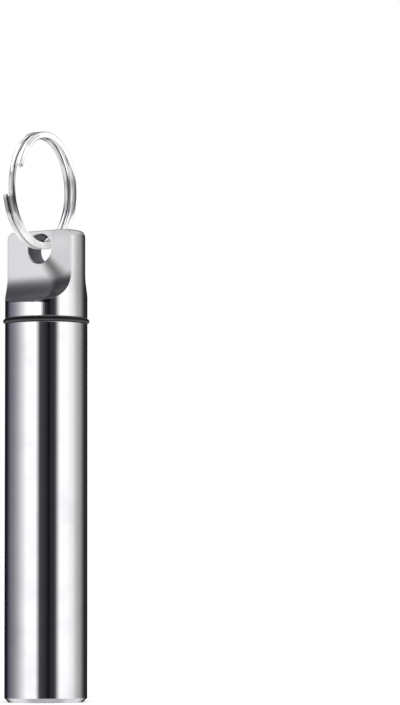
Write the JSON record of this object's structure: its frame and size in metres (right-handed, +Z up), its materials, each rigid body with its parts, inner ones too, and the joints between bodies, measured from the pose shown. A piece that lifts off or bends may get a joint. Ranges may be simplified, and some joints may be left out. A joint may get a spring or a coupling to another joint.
{
  "type": "toothpick holder",
  "caption": "Slim steel tube with a screw cap, a rubber seal and a split ring through the cap's flat eye, for carrying toothpicks on a key ring.",
  "frame": {"origin": "middle of the tube's flat base", "axes": "+Z up along the tube; the hole in the cap's eye runs along Y and the split ring stands close to the YZ plane; -Y is the front, where the split ring's wire ends are"},
  "size_m": [0.0162, 0.0221, 0.1069],
  "materials": {
    "body_steel": "mirror-polished stainless steel with faint turning marks",
    "ring_steel": "bright nickel-plated spring wire",
    "seal_rubber": "black nitrile rubber, slightly shiny"
  },
  "bodies": {
    "tube": {"tube": "body_steel"},
    "seal": {"o_ring": "seal_rubber"},
    "cap": {"screw_cap": "body_steel"},
    "key_ring": {"split_ring": "ring_steel"}
  },
  "joints": [
    {"name": "cap_rise", "type": "slide", "parent": "tube", "child": "seal", "axis": [0, 0, 1], "range_m": [0, 0.005]},
    {"name": "cap_turn", "type": "hinge", "parent": "seal", "child": "cap", "pos_m": [0, 0, 0.0717], "axis": [0, 0, 1], "range_deg": [0, 1800]},
    {"name": "ring_swing", "type": "hinge", "parent": "cap", "child": "key_ring", "pos_m": [0, 0, 0.08494], "axis": [0, 1, 0], "range_deg": [-151, 148.9]}
  ],
  "couplings": [
    {"joint": "cap_rise", "follows": "cap_turn", "m_per_rad": 0.00015915}
  ]
}
